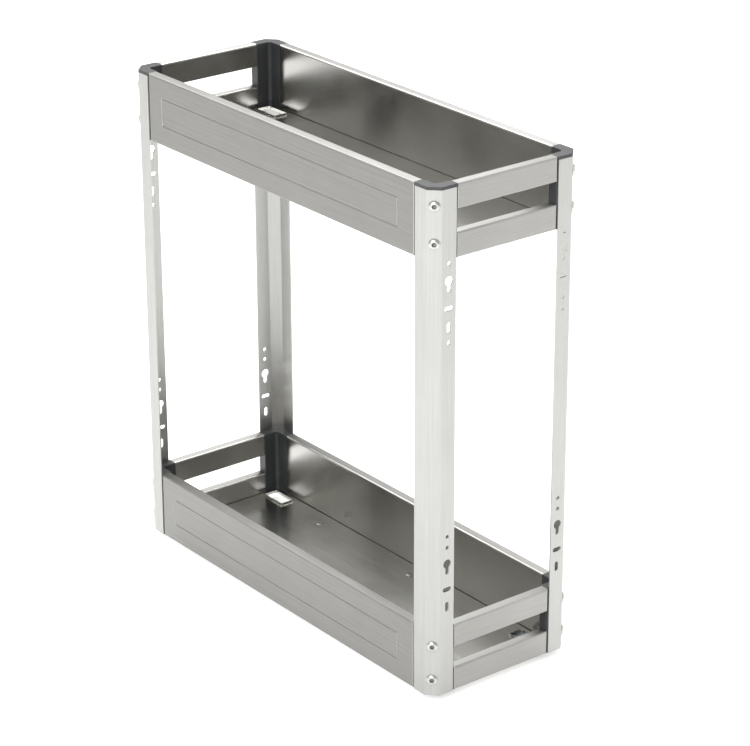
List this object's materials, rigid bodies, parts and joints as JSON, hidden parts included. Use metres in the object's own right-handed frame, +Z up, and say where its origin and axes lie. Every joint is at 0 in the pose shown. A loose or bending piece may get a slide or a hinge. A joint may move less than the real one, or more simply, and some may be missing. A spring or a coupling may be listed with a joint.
{
  "type": "pull-out bottle rack",
  "caption": "Tall narrow pull-out bottle rack: shallow brushed steel trays above and below, between bent corner posts with dark plastic corners, on flat ball bearing slides.",
  "frame": {"origin": "on the cabinet floor under the middle of the rack, at the bottom of the two cabinet members", "axes": "+Z up, +X along the rack's length, the way it pulls out, +Y to its right side"},
  "size_m": [0.47, 0.17, 0.509],
  "materials": {
    "brushed_sheet": "brushed along the sheet, satin",
    "dark_plastic": "fine moulded texture, charcoal",
    "screw_steel": "bright turned stainless",
    "insert_brass": "turned",
    "zinc_plated_steel": "bright zinc plate",
    "ball_steel": "polished",
    "bumper_rubber": "matte"
  },
  "bodies": {
    "cabinet_base": {"left_cabinet_member": "zinc_plated_steel", "left_bumper": "bumper_rubber", "right_cabinet_member": "zinc_plated_steel", "right_bumper": "bumper_rubber"},
    "rack": {"lower_tray_floor": "brushed_sheet", "lower_left_side_panel": "brushed_sheet", "lower_right_side_panel": "brushed_sheet", "lower_front_bottom_rail": "brushed_sheet", "lower_front_top_rail": "brushed_sheet", "lower_back_bottom_rail": "brushed_sheet", "lower_back_top_rail": "brushed_sheet", "lower_corner_screws": "screw_steel", "lower_corner_inserts": "insert_brass", "lower_front_left_connector": "dark_plastic", "lower_front_right_connector": "dark_plastic", "lower_back_left_connector": "dark_plastic", "lower_back_right_connector": "dark_plastic", "upper_tray_floor": "brushed_sheet", "upper_left_side_panel": "brushed_sheet", "upper_right_side_panel": "brushed_sheet", "upper_front_bottom_rail": "brushed_sheet", "upper_front_top_rail": "brushed_sheet", "upper_back_bottom_rail": "brushed_sheet", "upper_back_top_rail": "brushed_sheet", "upper_corner_screws": "screw_steel", "upper_corner_inserts": "insert_brass", "upper_front_left_connector": "dark_plastic", "upper_front_right_connector": "dark_plastic", "upper_back_left_connector": "dark_plastic", "upper_back_right_connector": "dark_plastic", "front_left_post": "brushed_sheet", "front_left_cap": "dark_plastic", "front_right_post": "brushed_sheet", "front_right_cap": "dark_plastic", "back_left_post": "brushed_sheet", "back_left_cap": "dark_plastic", "back_right_post": "brushed_sheet", "back_right_cap": "dark_plastic", "slide_screws": "zinc_plated_steel", "slide_nuts": "zinc_plated_steel", "left_tray_member": "zinc_plated_steel", "right_tray_member": "zinc_plated_steel"},
    "left_middle": {"left_middle_member": "zinc_plated_steel"},
    "left_outer_cage": {"left_outer_ball_cage": "zinc_plated_steel", "left_outer_balls": "ball_steel"},
    "left_inner_cage": {"left_inner_ball_cage": "zinc_plated_steel", "left_inner_balls": "ball_steel"},
    "right_middle": {"right_middle_member": "zinc_plated_steel"},
    "right_outer_cage": {"right_outer_ball_cage": "zinc_plated_steel", "right_outer_balls": "ball_steel"},
    "right_inner_cage": {"right_inner_ball_cage": "zinc_plated_steel", "right_inner_balls": "ball_steel"}
  },
  "joints": [
    {"name": "rack_slide", "type": "slide", "parent": "cabinet_base", "child": "rack", "axis": [1, 0, 0], "range_m": [0, 0.4]},
    {"name": "left_middle_slide", "type": "slide", "parent": "cabinet_base", "child": "left_middle", "axis": [1, 0, 0], "range_m": [0, 0.2]},
    {"name": "left_outer_cage_slide", "type": "slide", "parent": "cabinet_base", "child": "left_outer_cage", "axis": [1, 0, 0], "range_m": [0, 0.1]},
    {"name": "left_inner_cage_slide", "type": "slide", "parent": "cabinet_base", "child": "left_inner_cage", "axis": [1, 0, 0], "range_m": [0, 0.3]},
    {"name": "right_middle_slide", "type": "slide", "parent": "cabinet_base", "child": "right_middle", "axis": [1, 0, 0], "range_m": [0, 0.2]},
    {"name": "right_outer_cage_slide", "type": "slide", "parent": "cabinet_base", "child": "right_outer_cage", "axis": [1, 0, 0], "range_m": [0, 0.1]},
    {"name": "right_inner_cage_slide", "type": "slide", "parent": "cabinet_base", "child": "right_inner_cage", "axis": [1, 0, 0], "range_m": [0, 0.3]}
  ],
  "couplings": [
    {"joint": "left_middle_slide", "follows": "rack_slide", "ratio": 0.5},
    {"joint": "left_outer_cage_slide", "follows": "rack_slide", "ratio": 0.25},
    {"joint": "left_inner_cage_slide", "follows": "rack_slide", "ratio": 0.75},
    {"joint": "right_middle_slide", "follows": "rack_slide", "ratio": 0.5},
    {"joint": "right_outer_cage_slide", "follows": "rack_slide", "ratio": 0.25},
    {"joint": "right_inner_cage_slide", "follows": "rack_slide", "ratio": 0.75}
  ]
}
